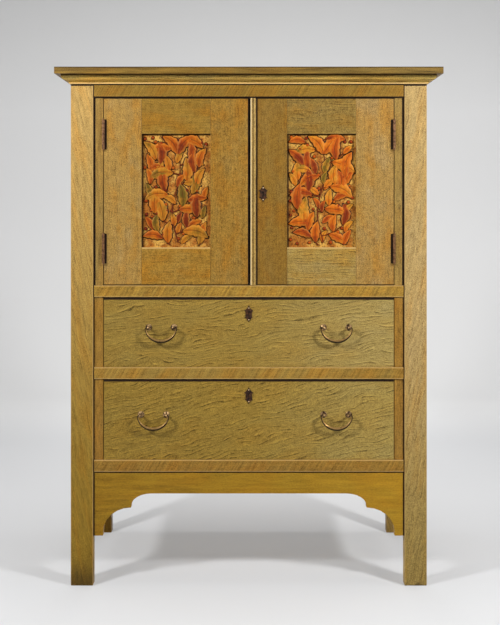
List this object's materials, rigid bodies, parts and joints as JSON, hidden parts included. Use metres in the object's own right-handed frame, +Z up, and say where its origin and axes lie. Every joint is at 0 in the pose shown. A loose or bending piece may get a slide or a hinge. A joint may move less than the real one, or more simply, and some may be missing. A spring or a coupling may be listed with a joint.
{
  "type": "linen press",
  "caption": "Tall oak linen press: a pair of panelled doors over long drawers with bail pulls, in a post-and-rail case on square legs with an arched apron.",
  "frame": {"origin": "middle of the footprint, on the floor under the feet", "axes": "+Z up, -Y out of the front through the doors and drawers, +X to the viewer's right"},
  "size_m": [1.0332, 0.476, 1.393],
  "materials": {
    "post_oak": "golden oak, waxed, worn paler than the case",
    "case_oak": "olive-brown stained oak, waxed",
    "door_oak": "olive-gold stained oak, quarter sawn, waxed",
    "drawer_oak": "green-gold stained oak, quarter sawn, waxed",
    "panel_paint": "carved low relief, tinted in orange, gold and brick",
    "inner_wood": "pale unfinished secondary wood",
    "bronze": "aged dark bronze, rubbed bright on the edges"
  },
  "bodies": {
    "case": {"front_left_post": "post_oak", "front_right_post": "post_oak", "rear_left_post": "post_oak", "rear_right_post": "post_oak", "left_side_panel": "case_oak", "right_side_panel": "case_oak", "back_panel": "case_oak", "top_board": "case_oak", "cornice_moulding": "case_oak", "top_rail": "case_oak", "waist_rail": "case_oak", "drawer_rail": "case_oak", "bottom_rail": "case_oak", "apron": "case_oak", "left_hanging_stile": "case_oak", "right_hanging_stile": "case_oak", "cupboard_floor": "inner_wood", "cupboard_shelf": "inner_wood", "upper_drawer_deck": "inner_wood", "lower_drawer_deck": "inner_wood", "left_upper_hinge_case_leaf": "bronze", "left_lower_hinge_case_leaf": "bronze", "right_upper_hinge_case_leaf": "bronze", "right_lower_hinge_case_leaf": "bronze"},
    "left_door": {"left_door_hinge_stile": "door_oak", "left_door_meeting_stile": "door_oak", "left_door_top_rail": "door_oak", "left_door_bottom_rail": "door_oak", "left_door_panel": "panel_paint", "left_upper_hinge_door_leaf": "bronze", "left_lower_hinge_door_leaf": "bronze"},
    "right_door": {"right_door_hinge_stile": "door_oak", "right_door_meeting_stile": "door_oak", "right_door_top_rail": "door_oak", "right_door_bottom_rail": "door_oak", "right_door_panel": "panel_paint", "right_door_astragal": "door_oak", "right_upper_hinge_door_leaf": "bronze", "right_lower_hinge_door_leaf": "bronze"},
    "door_bolt": {"door_lock_bolt": "bronze"},
    "upper_drawer": {"upper_drawer_front": "drawer_oak", "upper_drawer_left_side": "inner_wood", "upper_drawer_right_side": "inner_wood", "upper_drawer_back": "inner_wood", "upper_drawer_bottom": "inner_wood", "upper_drawer_left_pull_mount": "bronze", "upper_drawer_right_pull_mount": "bronze"},
    "upper_drawer_bolt": {"upper_drawer_lock_bolt": "bronze"},
    "upper_left_bail": {"upper_drawer_left_bail": "bronze"},
    "upper_right_bail": {"upper_drawer_right_bail": "bronze"},
    "lower_drawer": {"lower_drawer_front": "drawer_oak", "lower_drawer_left_side": "inner_wood", "lower_drawer_right_side": "inner_wood", "lower_drawer_back": "inner_wood", "lower_drawer_bottom": "inner_wood", "lower_drawer_left_pull_mount": "bronze", "lower_drawer_right_pull_mount": "bronze"},
    "lower_drawer_bolt": {"lower_drawer_lock_bolt": "bronze"},
    "lower_left_bail": {"lower_drawer_left_bail": "bronze"},
    "lower_right_bail": {"lower_drawer_right_bail": "bronze"}
  },
  "joints": [
    {"name": "left_door_swing", "type": "hinge", "parent": "case", "child": "left_door", "pos_m": [-0.3925, -0.1962, 1.0625], "axis": [0, 0, -1], "range_deg": [0, 150]},
    {"name": "right_door_swing", "type": "hinge", "parent": "case", "child": "right_door", "pos_m": [0.3925, -0.1962, 1.0625], "axis": [0, 0, 1], "range_deg": [0, 150]},
    {"name": "door_bolt_slide", "type": "slide", "parent": "right_door", "child": "door_bolt", "axis": [-1, 0, 0], "range_m": [0, 0.01]},
    {"name": "upper_drawer_slide", "type": "slide", "parent": "case", "child": "upper_drawer", "axis": [0, -1, 0], "range_m": [0, 0.3]},
    {"name": "upper_drawer_bolt_slide", "type": "slide", "parent": "upper_drawer", "child": "upper_drawer_bolt", "axis": [0, 0, 1], "range_m": [0, 0.009]},
    {"name": "upper_left_bail_swing", "type": "hinge", "parent": "upper_drawer", "child": "upper_left_bail", "pos_m": [-0.236, -0.2085, 0.6957], "axis": [-1, 0, 0], "range_deg": [-15, 150]},
    {"name": "upper_right_bail_swing", "type": "hinge", "parent": "upper_drawer", "child": "upper_right_bail", "pos_m": [0.236, -0.2085, 0.6957], "axis": [-1, 0, 0], "range_deg": [-15, 150]},
    {"name": "lower_drawer_slide", "type": "slide", "parent": "case", "child": "lower_drawer", "axis": [0, -1, 0], "range_m": [0, 0.3]},
    {"name": "lower_drawer_bolt_slide", "type": "slide", "parent": "lower_drawer", "child": "lower_drawer_bolt", "axis": [0, 0, 1], "range_m": [0, 0.009]},
    {"name": "lower_left_bail_swing", "type": "hinge", "parent": "lower_drawer", "child": "lower_left_bail", "pos_m": [-0.257, -0.2085, 0.4602], "axis": [-1, 0, 0], "range_deg": [-15, 150]},
    {"name": "lower_right_bail_swing", "type": "hinge", "parent": "lower_drawer", "child": "lower_right_bail", "pos_m": [0.236, -0.2085, 0.4602], "axis": [-1, 0, 0], "range_deg": [-15, 150]}
  ]
}
